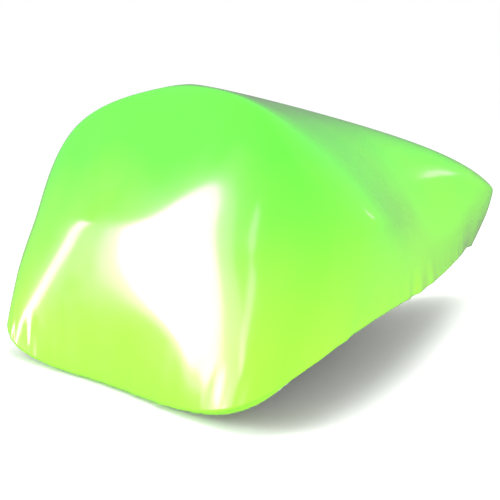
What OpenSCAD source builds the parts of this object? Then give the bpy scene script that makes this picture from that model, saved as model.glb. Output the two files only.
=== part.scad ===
// Comfort bicycle saddle with a glossy stretch cover, on a clamp for a plain seat post.
// Millimetres. +X runs to the nose, +Z is up. The origin is on the seat post's axis, at the mouth of the
// post collar. Outline points are [from the rear, out from the middle, up from the hem at the rear].

/* [Top of the pad] */
// Highest point of the pad
crown = [54, 0, 117]; // [0:1:130]
// Top edge, middle of the rear
top_rear = [34, 0, 97]; // [0:1:120]
// Top edge, rear corner
top_corner = [35, 88, 109]; // [0:1:120]
// Top edge, widest part of the flank
top_flank = [45, 64, 110]; // [0:1:120]
// Top edge, waist
top_waist = [140, 36, 91]; // [0:1:150]
// Top edge, side of the nose
top_side = [200, 16, 82]; // [0:1:220]
// Top edge, tip of the nose
top_nose = [230, 0, 73]; // [0:1:250]

/* [Shoulder of the pad] */
// Shoulder, middle of the rear
shoulder_rear = [15, 0, 66]; // [0:1:120]
// Shoulder, rear corner
shoulder_corner = [20, 106, 59]; // [0:1:120]
// Shoulder, widest part of the flank
shoulder_flank = [60, 107, 68]; // [0:1:125]
// Shoulder, waist
shoulder_waist = [129, 53, 54]; // [0:1:150]
// Shoulder, side of the nose
shoulder_side = [218, 23, 68]; // [0:1:240]
// Shoulder, tip of the nose
shoulder_nose = [276, 0, 45]; // [0:1:300]
// How crisp the shoulder is: small is crisp
shoulder_soft = 0.12; // [0.05:0.01:0.5]

/* [Hem] */
// Hem, middle of the rear
hem_rear = [10, 0, -2]; // [-10:1:120]
// Hem, rear corner
hem_corner = [-4, 91, -2]; // [-10:1:120]
// Hem, widest part of the flank
hem_flank = [28, 118, 33]; // [-10:1:120]
// Hem, waist
hem_waist = [142, 63, 26]; // [-10:1:160]
// Hem, side of the nose
hem_side = [211, 23, 33]; // [-10:1:240]
// Hem, tip of the nose
hem_nose = [243, 0, 19]; // [-10:1:270]
// How far the sides bulge between shoulder and hem
side_bulge = 4; // [0:0.5:8]

/* [Layers] */
// Thickness of the stretch film
film_t = 0.8; // [0.4:0.1:1.2]
// Gap between the film and the saddle's own skin
film_gap = 0.3; // [0.3:0.1:0.5]
// Thickness of the saddle's skin
skin_t = 1.2; // [0.8:0.1:2]
// Foam on top, over the rear
foam_top = 26; // [18:1:32]
// Foam on top, over the nose
foam_nose = 16; // [12:1:20]
// Foam at the sides
foam_side = 10; // [6:0.5:14]
// Wall of the moulded base
base_t = 3; // [2:0.5:4]
// Gap between layers that lie on each other
lay_gap = 0.05; // [0.05:0.01:0.1]

/* [Elastic hem] */
// Outside radius of the rolled hem
hem_r = 2; // [1.8:0.1:3]
// Wall of the rolled hem
hem_wall = 0.6; // [0.5:0.1:0.7]
// How far the roll shows below the film's edge
hem_drop = 1; // [0.2:0.1:1.5]
// Radius of the elastic cord
elastic_r = 1.1; // [0.7:0.1:1.2]

/* [Rails] */
// Diameter of a rail
rail_d = 7; // [6:0.1:8]
// Distance between the rails where the clamp holds them
rail_spacing = 44; // [40:1:48]
// Height of the rails' straight stretch
rail_z = 38; // [34:1:42]
// Rear end of the straight stretch
rail_x0 = 70; // [66:1:74]
// Front end of the straight stretch
rail_x1 = 150; // [147:1:158]
// Where a rail ends in its rear socket
rail_rear = [54, 36, 58]; // [0:1:80]
// Where a rail ends in the nose socket
rail_nose = [196, 6, 46]; // [0:1:230]
// Radius of the rails' bends, at the middle of the rod
rail_bend = 18; // [14:1:20]
// Slack of a rail in its socket
socket_gap = 0.05; // [0.02:0.01:0.1]

/* [Clamp] */
// Seat post diameter
post_d = 22.2; // [20:0.1:26]
// Wall of the post collar
collar_wall = 3.6; // [3:0.1:5]
// Height of the post collar
collar_h = 28; // [22:1:32]
// Height of the collar's lower face
collar_z = 16; // [14:1:20]
// Width of the collar's slit
slit_w = 3; // [2:0.5:4]
// Clamp bolt diameter
bolt_d = 8; // [6:0.5:8]
// Where the clamp bolt lies, from the rear
bolt_x = 112; // [111:1:114]
// Rail height above the bolt
rail_above_bolt = 9; // [8.5:0.5:10]
// Radius of the round rail plates
plate_r = 15; // [14:0.5:17]
// Clearance between parts that turn or slide on each other
run_gap = 0.05; // [0.02:0.01:0.08]

/* [Hidden] */

$fn = 48;
eps = 0.01;
columns = 56;
stations = 10;
lime = [0.36, 0.92, 0.20];

// Collar, bolt and plates
bolt_z = rail_z - rail_above_bolt;
collar_r = post_d / 2 + collar_wall;
post_x = bolt_x + collar_r + bolt_d / 2 + 1;
ear_r = bolt_d / 2 + 5;
tooth_h = 0.8;
teeth = 24;
face_gap = 0.3;
ear_y = collar_r + face_gap - 2 * tooth_h;
plate_in = ear_y + 2 * tooth_h + face_gap;
split = rail_spacing / 2;
split_gap = 0.8;
plate_out = split + 8;
washer_t = 1.6;
nut_t = 6.5;

// Film outline, ring by ring, as half rings from the middle of the rear to the nose
top_ring = [top_rear, top_corner, top_flank, top_waist, top_side, top_nose];
shoulder_ring = [shoulder_rear, shoulder_corner, shoulder_flank,
    shoulder_waist, shoulder_side, shoulder_nose];
hem_ring = [hem_rear, hem_corner, hem_flank, hem_waist, hem_side, hem_nose];
crown_half = [8, 11];
ring_centre = [110, 0, 0];
mouth_rise = 20;

// Way in from each station of the outline, in plan
inward = [[1, 0, 0], [0.6, -0.8, 0], [0, -1, 0], [0, -1, 0], [0, -1, 0], [-1, 0, 0]];
foam_over = [foam_top, foam_top, foam_top, (foam_top + foam_nose) / 2, foam_nose, foam_nose];
down = [0, 0, -1];
hem_lift = 5;
base_soft = 0.5;

// The base's own outline: the film's, moved in and down by the foam
base_crown = crown + down * foam_top;
base_top = [for (s = [0:5]) top_ring[s] + inward[s] * foam_side * 0.4 + down * foam_over[s]];
base_shoulder = [for (s = [0:5]) shoulder_ring[s] + inward[s] * foam_side * 1.3 + down * foam_over[s] * 0.45];
base_hem = [for (s = [0:5]) hem_ring[s] + inward[s] * foam_side - down * hem_lift];

// Whole ring of stations from its left half
function whole(half) = concat(half, [for (s = [4:-1:1]) [half[s][0], -half[s][1], half[s][2]]]);

// Control rings from the far side of the crown to just past the hem
function cage(peak, top, shoulder, hem, soft) =
    let (
        cap = [for (s = [0:5]) peak + [-crown_half[0] * cos(36 * s), crown_half[1] * sin(36 * s), 0]],
        belly = [for (s = [0:5])
            let (mid = (shoulder[s] + hem[s]) / 2, out = [mid[0], mid[1], 0] - ring_centre)
            mid + out / norm(out) * side_bulge],
        under = [for (s = [0:5]) shoulder[s] + (belly[s] - shoulder[s]) * soft],
        past = [for (s = [0:5]) 2 * hem[s] - belly[s]],
        ring1 = whole(cap),
        ghost = [for (s = [0:stations - 1]) ring1[(s + 5) % stations]]
    )
    [ghost, whole([for (s = [0:5]) peak]), ring1, whole(top), whole(shoulder), whole(under),
     whole(belly), whole(hem), whole(past)];

film_cage = cage(crown, top_ring, shoulder_ring, hem_ring, shoulder_soft);
base_cage = cage(base_crown, base_top, base_shoulder, base_hem, base_soft);

// Cubic B-spline weights of the four nearest controls, and their slopes
function weights(f) = [pow(1 - f, 3), 3 * pow(f, 3) - 6 * f * f + 4,
    -3 * pow(f, 3) + 3 * f * f + 3 * f + 1, pow(f, 3)] / 6;
function slopes(f) = [-pow(1 - f, 2), 3 * f * f - 4 * f, -3 * f * f + 2 * f + 1, f * f] / 2;
function blend4(w, a, b, c, d) = w[0] * a + w[1] * b + w[2] * c + w[3] * d;

// Controls of one column, u stations round from the rear
function column(net, u, w) =
    let (s = floor(u))
    [for (ring = net) blend4(w, ring[(s + stations - 1) % stations], ring[s % stations],
        ring[(s + 1) % stations], ring[(s + 2) % stations])];
function along(col, t, w) =
    let (r = min(floor(t), 5))
    blend4(w, col[r], col[r + 1], col[r + 2], col[r + 3]);

// Point and outward normal of a net, t rings down from the crown and u stations round
function net_point(net, t, u) =
    along(column(net, u, weights(u - floor(u))), t, weights(t - min(floor(t), 5)));
function net_normal(net, t, u) =
    t < eps ? [0, 0, 1] :
    let (
        r = min(floor(t), 5),
        f = u - floor(u),
        dt = along(column(net, u, weights(f)), t, slopes(t - r)),
        du = along(column(net, u, slopes(f)), t, weights(t - r)),
        n = cross(du, dt)
    )
    n / norm(n);
function off(net, t, u, depth) = net_point(net, t, u) - depth * net_normal(net, t, u);

// Rings of the surface, closer together round the shoulder
rows = [0.6, 1.1, 1.6, 2.1, 2.6, 2.95, 3.3, 3.65, 4, 4.4, 4.9, 5.4, 5.7, 6];
pad_rows = len(rows) - 1;
pad_end = rows[pad_rows - 1];

// Faces of one sheet: a fan at the crown and bands below it
function fan(base) = [for (c = [0:columns - 1]) [base, base + 1 + c, base + 1 + (c + 1) % columns]];
function bands(base, count) = [for (r = [0:count - 2], c = [0:columns - 1], half = [0, 1])
    let (
        a = base + 1 + r * columns,
        b = a + columns,
        d = (c + 1) % columns
    )
    half == 0 ? [a + c, b + c, a + d] : [a + d, b + c, b + d]];
function flip(faces) = [for (f = faces) [f[2], f[1], f[0]]];

// Closed bowl between two nets, each set in by its own depth, down over a number of rows
module bowl(outer, depth_out, inner, depth_in, count) {
    levels = [for (r = [0:count - 1]) rows[r]];
    sheet = 1 + count * columns;
    last = 1 + (count - 1) * columns;
    points = [for (side = [[outer, depth_out], [inner, depth_in]])
        each concat([off(side[0], 0, 0, side[1])],
            [for (t = levels, c = [0:columns - 1]) off(side[0], t, c * stations / columns, side[1])])];
    rim = [for (c = [0:columns - 1], half = [0, 1])
        let (a = last + c, b = last + (c + 1) % columns)
        half == 0 ? [a, a + sheet, b] : [b, a + sheet, b + sheet]];
    faces = concat(fan(0), bands(0, count), flip(fan(sheet)), flip(bands(sheet, count)), rim);
    polyhedron(points, faces);
}

// Closed volume inside a net, set in by a depth, with its mouth capped
module core(net, depth, count) {
    last = 1 + (count - 1) * columns;
    cap = last + columns;
    points = concat([off(net, 0, 0, depth)],
        [for (r = [0:count - 1], c = [0:columns - 1]) off(net, rows[r], c * stations / columns, depth)],
        [ring_centre + [0, 0, mouth_rise]]);
    mouth = [for (c = [0:columns - 1]) [last + (c + 1) % columns, last + c, cap]];
    polyhedron(points, concat(fan(0), bands(0, count), mouth));
}

// Ring swept round the film's hem with a closed profile of [outward, down] points
module hem_sweep(profile) {
    n = len(profile);
    points = [for (c = [0:columns - 1])
        let (
            u = c * stations / columns,
            p = net_point(film_cage, 6, u),
            out = net_normal(film_cage, 6, u),
            under = p - net_point(film_cage, 5.9, u),
            fall = under / norm(under)
        )
        each [for (q = profile) p + out * q[0] + fall * q[1]]];
    faces = [for (c = [0:columns - 1], k = [0:n - 1], half = [0, 1])
        let (a = c * n, b = ((c + 1) % columns) * n, m = (k + 1) % n)
        half == 0 ? [a + k, a + m, b + k] : [b + k, a + m, b + m]];
    polyhedron(points, faces);
}

// Middle of the rolled hem, in the profile's [outward, down]. It is tucked inside the film's edge.
roll = [-film_t - lay_gap - hem_r, hem_drop - hem_r];
roll_from = -30;
roll_to = 230;
function arc(r, a0, a1, steps) = [for (k = [0:steps]) let (a = a0 + (a1 - a0) * k / steps)
    roll + r * [cos(a), sin(a)]];

// Rod along points with round bends, all true cylinders and rings. The straight stretches run a little
// way into the bends, which are a hair thinner, so that they join cleanly.
lap = 0.3;
module rod(points, d, bend) {
    n = len(points);
    trims = [for (k = [0:n - 1]) (k == 0 || k == n - 1) ? 0 :
        bend * tan(turn(points, k) / 2)];
    for (k = [0:n - 2]) {
        way = unit(points[k + 1] - points[k]);
        start = points[k] + way * trims[k];
        length = norm(points[k + 1] - points[k]) - trims[k] - trims[k + 1];
        back = k == 0 ? 0 : lap;
        place(start - way * back, way) cylinder(d = d, h = length + back + (k == n - 2 ? 0 : lap));
    }
    for (k = [1:n - 2]) elbow(points[k - 1], points[k], points[k + 1], d - lap / 8, bend);
}
function unit(v) = v / norm(v);
function turn(points, k) = acos(unit(points[k] - points[k - 1]) * unit(points[k + 1] - points[k]));

// Sets the children's +Z along a way, at a point
module place(at, way) {
    side = norm(cross([0, 1, 0], way)) > 0.2 ? unit(cross([0, 1, 0], way)) : unit(cross([1, 0, 0], way));
    other = cross(way, side);
    multmatrix([[side[0], other[0], way[0], at[0]], [side[1], other[1], way[1], at[1]],
        [side[2], other[2], way[2], at[2]]]) children();
}

// Bend of a rod at the middle one of three points
module elbow(a, b, c, d, bend) {
    into = unit(b - a);
    away = unit(c - b);
    angle = acos(into * away);
    axis = unit(cross(into, away));
    radial = unit(cross(into, axis));
    start = b - into * bend * tan(angle / 2);
    centre = start - radial * bend;
    multmatrix([[radial[0], into[0], axis[0], centre[0]], [radial[1], into[1], axis[1], centre[1]],
        [radial[2], into[2], axis[2], centre[2]]])
        rotate_extrude(angle = angle) translate([bend, 0]) circle(d = d);
}

// Rail route on the left (side = 1) or right (side = -1)
function rail_points(side) =
    [for (p = [rail_rear, [rail_x0, split, rail_z], [rail_x1, split, rail_z], rail_nose])
        [p[0], side * p[1], p[2]]];

// Everything is drawn in saddle places and moved so that the post's mouth is the origin
module in_frame() {
    translate([-post_x, 0, -collar_z]) children();
}

// ---- Cover ----

module cover_film() {
    color(lime) in_frame() bowl(film_cage, 0, film_cage, film_t, len(rows));
}

module hem_channel() {
    color([0.45, 0.95, 0.30]) in_frame()
        hem_sweep(concat(arc(hem_r, roll_from, roll_to, 8), arc(hem_r - hem_wall, roll_to, roll_from, 8)));
}

module hem_elastic() {
    color("white") in_frame() hem_sweep(arc(elastic_r, 0, 315, 7));
}

// ---- Saddle ----

skin_out = film_t + film_gap;
foam_out = skin_out + skin_t + lay_gap;

module saddle_skin() {
    color([0.12, 0.12, 0.13]) in_frame()
        bowl(film_cage, skin_out, film_cage, skin_out + skin_t, pad_rows);
}

module foam_pad() {
    color([0.85, 0.80, 0.65]) in_frame() bowl(film_cage, foam_out, base_cage, -lay_gap, pad_rows);
}

// Where screws go: under the base at [rings down, stations round]
rear_screw_at = [1.8, 1.9];
nose_screw_at = [1.85, 4.1];
boss_r = 6;
boss_low = 11;
screw_r = 2;

function mirror_y(p, side) = [p[0], side * p[1], p[2]];
function wall_middle(at) = off(base_cage, at[0], at[1], base_t / 2);

// Bosses that the sockets are screwed to: place in plan, flat lower end
rear_boss = wall_middle(rear_screw_at);
nose_boss = wall_middle(nose_screw_at);
boss_drop = base_t / 2 + boss_low;

module bosses() {
    for (at = [rear_boss, nose_boss], side = [-1, 1])
        translate(mirror_y(at, side) - [0, 0, boss_drop]) cylinder(r = boss_r, h = boss_drop + 2 * boss_r);
}

module base_shell() {
    color([0.1, 0.1, 0.1]) in_frame() difference() {
        union() {
            bowl(base_cage, 0, base_cage, base_t, pad_rows);
            intersection() {
                bosses();
                core(base_cage, base_t / 3, pad_rows);
            }
        }
        boss_holes();
    }
}

// Pilot holes for the socket screws
module boss_holes() {
    for (at = [rear_boss, nose_boss], side = [-1, 1])
        translate(mirror_y(at, side) - [0, 0, boss_drop + 1])
            cylinder(r = screw_r + lay_gap, h = boss_low + 1);
}

// Staples in a row inside the skirt, holding the skin. Each lies flat on the wall between two columns.
staple_row = pad_rows - 3;
staple_size = [4, 0.9, 0.6];
staple_gap = 0.9;
module skin_staples() {
    color("silver") in_frame() for (c = [0:2:columns - 1]) if (abs(c + 0.5 - columns / 2) > 2) {
        corner = [for (k = [[0, 0], [0, 1], [1, 1], [1, 0]])
            off(base_cage, rows[staple_row + k[0]], (c + k[1]) * stations / columns, base_t)];
        along = unit(corner[1] - corner[0] + corner[2] - corner[3]);
        inward = unit(cross(corner[3] - corner[1], corner[2] - corner[0]));
        across = cross(inward, along);
        at = (corner[0] + corner[1] + corner[2] + corner[3]) / 4 + inward * (staple_gap + staple_size[2] / 2);
        multmatrix([[along[0], across[0], inward[0], at[0]], [along[1], across[1], inward[1], at[1]],
            [along[2], across[2], inward[2], at[2]]]) cube(staple_size, center = true);
    }
}

// ---- Sockets, rails and screws ----

flange_t = 5;
flange_r = 8;
barrel_wall = 2.5;
barrel_r = rail_d / 2 + barrel_wall;
grip = 14;
web_w = 11;
web_t = 4.6;
head_room = 30;

// Barrel that a rail end plugs into, with a flange screwed under a boss
module rear_socket(side) {
    top = mirror_y(rear_boss, side) - [0, 0, boss_drop + lay_gap];
    ends = rail_points(side);
    way = unit(ends[0] - ends[1]);
    difference() {
        union() {
            translate(top - [0, 0, flange_t]) cylinder(r = flange_r, h = flange_t);
            place(ends[0] - way * grip, way) cylinder(r = barrel_r, h = grip + 4);
            arm(top - [0, 0, flange_t * 0.8], ends[0] - way * grip / 2);
        }
        place(ends[0] - way * (grip + 1), way) cylinder(r = rail_d / 2 + socket_gap, h = grip + 1 + lay_gap);
        translate(top - [0, 0, flange_t + 20]) cylinder(r = screw_r + lay_gap, h = flange_t + 40);
        translate(top - [0, 0, flange_t + head_room]) cylinder(r = 2.1 * screw_r, h = head_room);
    }
}

// Web between a flange and a barrel
module arm(from, to) {
    way = to - from;
    place(from, unit(way)) translate([-web_w / 2, -web_t / 2, 0]) cube([web_w, web_t, norm(way)]);
}

module rear_socket_left() {
    color([0.15, 0.15, 0.16]) in_frame() rear_socket(1);
}

module rear_socket_right() {
    color([0.15, 0.15, 0.16]) in_frame() rear_socket(-1);
}

module nose_socket() {
    top_z = nose_boss[2] - boss_drop - lay_gap;
    color([0.15, 0.15, 0.16]) in_frame() difference() {
        union() {
            translate([nose_boss[0] - flange_r, -nose_boss[1] - flange_r / 2, top_z - flange_t])
                cube([rail_nose[0] - nose_boss[0] + flange_r, 2 * nose_boss[1] + flange_r, flange_t]);
            for (side = [-1, 1]) {
                ends = rail_points(side);
                way = unit(ends[3] - ends[2]);
                place(ends[3] - way * grip, way) cylinder(r = barrel_r, h = grip + 4);
                middle = ends[3] - way * grip / 2;
                arm([middle[0], middle[1], top_z - 1], middle);
            }
        }
        for (side = [-1, 1]) {
            ends = rail_points(side);
            way = unit(ends[3] - ends[2]);
            place(ends[3] - way * (grip + 1), way)
                cylinder(r = rail_d / 2 + socket_gap, h = grip + 1 + lay_gap);
            translate([nose_boss[0], side * nose_boss[1], top_z - 40])
                cylinder(r = screw_r + lay_gap, h = 60);
            translate([nose_boss[0], side * nose_boss[1], top_z - flange_t - head_room])
                cylinder(r = 2.1 * screw_r, h = head_room);
        }
    }
}

// Pan-head screws, head under the flange and point in the boss
module socket_screws() {
    color("silver") in_frame() for (at = [rear_boss, nose_boss], side = [-1, 1]) {
        head = mirror_y(at, side) - [0, 0, boss_drop + 2 * lay_gap + flange_t];
        translate(head) cylinder(r = screw_r, h = flange_t + boss_low - 2);
        translate(head - [0, 0, 1.6]) cylinder(r = 2 * screw_r, h = 1.6);
    }
}

module rail_left() {
    color("silver") in_frame() rod(rail_points(1), rail_d, rail_bend);
}

module rail_right() {
    color("silver") in_frame() rod(rail_points(-1), rail_d, rail_bend);
}

// ---- Clamp ----

// Sets children on the bolt's axis, with +Z out to one side
module on_bolt(side) {
    translate([bolt_x, 0, bolt_z]) rotate([side > 0 ? -90 : 90, 0, 0]) children();
}

// Round plate from y0 to y1 with a groove for the rail
module plate(side, y0, y1, reach) {
    difference() {
        union() {
            on_bolt(side) translate([0, 0, y0]) cylinder(r = plate_r - 4, h = y1 - y0);
            translate([bolt_x - reach, side > 0 ? y0 : -y1, rail_z - 5.5]) cube([2 * reach, y1 - y0, 11]);
        }
        on_bolt(side) translate([0, 0, y0 - 1]) cylinder(r = bolt_d / 2 + 0.2, h = y1 - y0 + 2);
        translate([bolt_x - reach - 1, side * split, rail_z]) rotate([0, 90, 0])
            cylinder(r = rail_d / 2 + run_gap, h = 2 * reach + 2);
    }
}

// Ring of radial teeth round the bolt
module serration(side, y) {
    on_bolt(side) translate([0, 0, y]) difference() {
        for (k = [0:teeth - 1]) rotate([0, 0, k * 360 / teeth])
            translate([0, -0.45, 0]) cube([ear_r - 0.6, 0.9, tooth_h]);
        translate([0, 0, -1]) cylinder(r = bolt_d / 2 + 1, h = tooth_h + 2);
    }
}

plate_reach = 16;

module inner_plate(side) {
    union() {
        plate(side, plate_in, split - split_gap / 2, plate_reach);
        serration(side, plate_in - tooth_h);
    }
}

module inner_plate_left() {
    color([0.7, 0.7, 0.72]) in_frame() inner_plate(1);
}

module inner_plate_right() {
    color([0.7, 0.7, 0.72]) in_frame() inner_plate(-1);
}

module outer_plate_left() {
    color([0.7, 0.7, 0.72]) in_frame() plate(1, split + split_gap / 2, plate_out, plate_reach);
}

module outer_plate_right() {
    color([0.7, 0.7, 0.72]) in_frame() plate(-1, split + split_gap / 2, plate_out, plate_reach);
}

nut_face = plate_out + 2 * lay_gap + washer_t;

module clamp_bolt() {
    reach = nut_face + nut_t + 1.5;
    color("silver") in_frame() on_bolt(1) translate([0, 0, -reach]) cylinder(d = bolt_d, h = 2 * reach);
}

module clamp_nuts() {
    color("silver") in_frame() for (side = [-1, 1]) on_bolt(side) translate([0, 0, nut_face + lay_gap])
        difference() {
            cylinder(r = bolt_d * 0.87, h = nut_t, $fn = 6);
            translate([0, 0, -1]) cylinder(r = bolt_d / 2 + lay_gap, h = nut_t + 2);
        }
}

module clamp_washers() {
    color("silver") in_frame() for (side = [-1, 1]) on_bolt(side) translate([0, 0, plate_out + lay_gap])
        difference() {
            cylinder(r = bolt_d, h = washer_t);
            translate([0, 0, -1]) cylinder(r = bolt_d / 2 + 0.2, h = washer_t + 2);
        }
}

// Split sleeve with two ears behind it that the bolt draws together
module post_collar() {
    color([0.62, 0.62, 0.64]) in_frame() difference() {
        union() {
            translate([post_x, 0, collar_z]) cylinder(r = collar_r, h = collar_h);
            on_bolt(1) translate([0, 0, -ear_y]) cylinder(r = ear_r, h = 2 * ear_y);
            translate([bolt_x, -ear_y, bolt_z - ear_r]) cube([post_x - bolt_x, 2 * ear_y, 2 * ear_r]);
            for (side = [-1, 1]) serration(side, ear_y);
        }
        translate([post_x, 0, collar_z - 1]) cylinder(d = post_d, h = collar_h + 2);
        translate([bolt_x - ear_r - 1, -slit_w / 2, collar_z - 1])
            cube([post_x - bolt_x + ear_r + 1, slit_w, collar_h + 2]);
        on_bolt(1) translate([0, 0, -ear_y - 2]) cylinder(r = bolt_d / 2 + run_gap, h = 2 * ear_y + 4);
    }
}

cover_film();
hem_channel();
hem_elastic();
saddle_skin();
foam_pad();
base_shell();
skin_staples();
nose_socket();
rear_socket_left();
rear_socket_right();
socket_screws();
rail_left();
rail_right();
inner_plate_left();
inner_plate_right();
outer_plate_left();
outer_plate_right();
clamp_bolt();
clamp_nuts();
clamp_washers();
post_collar();
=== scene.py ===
# %% [markdown]
# A bicycle saddle under a mirror-glossy stretch cover. The saddle, its rails and its clamp come from the
# frame as exact parts, and this script makes the pieces that need a better shape or finish than that: the
# film, its elastic hem, the saddle's own skin and foam, and every material.

import math

import bmesh
import bpy
import numpy as np
from mathutils import Matrix, Vector


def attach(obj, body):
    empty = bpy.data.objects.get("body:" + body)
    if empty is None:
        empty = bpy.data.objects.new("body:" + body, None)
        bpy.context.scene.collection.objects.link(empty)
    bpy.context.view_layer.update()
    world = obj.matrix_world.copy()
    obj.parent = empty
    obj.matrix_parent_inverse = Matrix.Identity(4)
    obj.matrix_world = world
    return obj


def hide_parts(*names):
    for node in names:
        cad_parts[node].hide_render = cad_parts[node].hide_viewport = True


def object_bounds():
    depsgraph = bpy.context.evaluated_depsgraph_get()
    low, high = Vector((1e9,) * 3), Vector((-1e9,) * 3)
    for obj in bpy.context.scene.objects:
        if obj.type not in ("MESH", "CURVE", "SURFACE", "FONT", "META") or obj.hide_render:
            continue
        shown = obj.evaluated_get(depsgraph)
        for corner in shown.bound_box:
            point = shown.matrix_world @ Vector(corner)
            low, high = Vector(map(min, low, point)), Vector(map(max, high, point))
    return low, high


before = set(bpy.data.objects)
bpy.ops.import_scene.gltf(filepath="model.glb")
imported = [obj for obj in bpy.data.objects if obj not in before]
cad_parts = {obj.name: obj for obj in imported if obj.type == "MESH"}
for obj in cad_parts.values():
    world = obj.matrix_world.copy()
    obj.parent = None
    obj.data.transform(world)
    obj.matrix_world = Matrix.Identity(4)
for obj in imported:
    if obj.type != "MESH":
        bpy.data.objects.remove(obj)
CAD_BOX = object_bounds()
MM = 0.001

# %% [markdown]
# The camera stands behind the saddle, a little to its right and not much above it, close enough that the
# rear corner looms. It is aimed at a point in the middle of the saddle and rolled a few degrees, as a hand
# holds it. The same place could be keyed in by eye, but a distance, two angles and a roll say it plainly.

# %% Camera
LENS_MM = 71.4
CAMERA_DISTANCE = 0.4454
CAMERA_HEADING = math.radians(-51.2)
CAMERA_ELEVATION = math.radians(8.34)
CAMERA_ROLL = math.radians(-3.39)
CAMERA_TARGET = Vector((-0.048, 0, 0.0265))


def make_camera():
    back = Vector((
        -math.cos(CAMERA_HEADING) * math.cos(CAMERA_ELEVATION),
        math.sin(CAMERA_HEADING) * math.cos(CAMERA_ELEVATION),
        math.sin(CAMERA_ELEVATION),
    ))
    level = (-back).cross(Vector((0, 0, 1))).normalized()
    right = Matrix.Rotation(-CAMERA_ROLL, 3, -back) @ level
    up = back.cross(right)
    data = bpy.data.cameras.new("camera")
    data.lens = LENS_MM
    data.clip_start = 0.01
    camera = bpy.data.objects.new("camera", data)
    camera.matrix_world = Matrix((
        (right.x, up.x, back.x, 0), (right.y, up.y, back.y, 0), (right.z, up.z, back.z, 0), (0, 0, 0, 1),
    ))
    camera.location = CAMERA_TARGET + back * CAMERA_DISTANCE
    bpy.context.scene.collection.objects.link(camera)
    bpy.context.scene.camera = camera


make_camera()
print("camera at", [round(v, 3) for v in bpy.context.scene.camera.location])

# %% [markdown]
# The pad's outline is six stations round half the saddle, on three rings: the top edge, the shoulder and
# the hem. A film pulled tight over a pad is smooth wherever nothing creases it, so the stations are the
# controls of a cubic B-spline surface, which is smooth in both directions and never wavers between its
# controls as an interpolating curve would. Two rings close together make the crisp shoulder line.

# %% Outline and spline surface
POST_TO_REAR = 131.7
COLLAR_MOUTH = 16
CROWN = (54, 0, 117)
CROWN_SPAN = (8, 11)
TOP = [(34, 0, 97), (35, 88, 109), (45, 64, 110), (140, 36, 91), (200, 16, 82), (230, 0, 73)]
SHOULDER = [(15, 0, 66), (20, 106, 59), (60, 107, 68), (129, 53, 54), (218, 23, 68), (276, 0, 45)]
HEM = [(10, 0, -2), (-4, 91, -2), (28, 118, 33), (142, 63, 26), (211, 23, 33), (243, 0, 19)]
SIDE_BULGE = 4
SHOULDER_SOFT = 0.12
STATIONS = 10
RINGS = 6


def whole_ring(half):
    half = np.array(half, float)
    return np.vstack([half, (half[4:0:-1]) * [1, -1, 1]])


def control_net(crown, top, shoulder, hem, soft):
    turn = np.arange(6) * math.pi / 5
    crown, top, shoulder, hem = (np.array(v, float) for v in (crown, top, shoulder, hem))
    cap = crown + np.c_[-CROWN_SPAN[0] * np.cos(turn), CROWN_SPAN[1] * np.sin(turn), 0 * turn]
    middle = (shoulder + hem) / 2
    out = middle * [1, 1, 0] - [110, 0, 0]
    belly = middle + out / np.linalg.norm(out, axis=1, keepdims=True) * SIDE_BULGE
    under = shoulder + (belly - shoulder) * soft
    rings = [whole_ring(v) for v in (np.tile(crown, (6, 1)), cap, top, shoulder, under, belly, hem)]
    rings.append(2 * rings[-1] - rings[-2])
    net = np.array([np.roll(rings[1], 5, axis=0)] + rings)
    return (net - [POST_TO_REAR, 0, COLLAR_MOUTH]) * MM


def spline_weights(f):
    return np.array([(1 - f) ** 3, 3 * f**3 - 6 * f**2 + 4, -3 * f**3 + 3 * f**2 + 3 * f + 1, f**3]) / 6


def spline_slopes(f):
    return np.array([-((1 - f) ** 2), 3 * f**2 - 4 * f, -3 * f**2 + 2 * f + 1, f**2]) / 2


def spline_grid(net, rows, columns, row_weights=spline_weights, column_weights=spline_weights):
    """Points of the surface: rows are rings down from the crown, columns are stations round from the rear."""
    first = np.minimum(np.floor(rows).astype(int), RINGS - 1)
    side = np.floor(columns).astype(int)
    across = column_weights(columns - side)
    spun = sum(across[k][None, :, None] * net[:, (side + k - 1) % STATIONS] for k in range(4))
    down = row_weights(rows - first)
    return sum(down[k][:, None, None] * spun[first + k] for k in range(4))


def surface(net, rows, columns):
    """Points and outward normals of the surface."""
    points = spline_grid(net, rows, columns)
    down = spline_grid(net, rows, columns, row_weights=spline_slopes)
    round_ = spline_grid(net, rows, columns, column_weights=spline_slopes)
    normals = np.cross(round_, down)
    size = np.linalg.norm(normals, axis=2, keepdims=True)
    normals = np.where(size > 1e-12, normals / np.maximum(size, 1e-12), [0, 0, 1.0])
    return points, normals


FILM_NET = control_net(CROWN, TOP, SHOULDER, HEM, SHOULDER_SOFT)
print("net of", FILM_NET.shape[0], "rings by", FILM_NET.shape[1], "stations")

# %% [markdown]
# The moulded base follows the film's outline, drawn in by the foam's thickness and lowered, so its net is
# worked out from the same stations. Changing a station moves the film, the foam and the base together.

# %% The base's own net
FOAM_TOP, FOAM_NOSE, FOAM_SIDE = 26, 16, 10
HEM_LIFT = 5
BASE_SOFT = 0.5
INWARD = np.array([(1, 0, 0), (0.6, -0.8, 0), (0, -1, 0), (0, -1, 0), (0, -1, 0), (-1, 0, 0)])
FOAM_OVER = np.array([FOAM_TOP] * 3 + [(FOAM_TOP + FOAM_NOSE) / 2] + [FOAM_NOSE] * 2)


def lowered(ring, inward, lower):
    return np.array(ring) + INWARD * inward - np.outer(lower, [0, 0, 1])


BASE_NET = control_net(
    np.array(CROWN) - [0, 0, FOAM_TOP],
    lowered(TOP, FOAM_SIDE * 0.4, FOAM_OVER),
    lowered(SHOULDER, FOAM_SIDE * 1.3, FOAM_OVER * 0.45),
    lowered(HEM, FOAM_SIDE, np.full(6, -HEM_LIFT)),
    BASE_SOFT,
)
print("base is", round(np.ptp(BASE_NET[7, :, 1]) * 1000), "mm wide at its hem")

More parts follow.
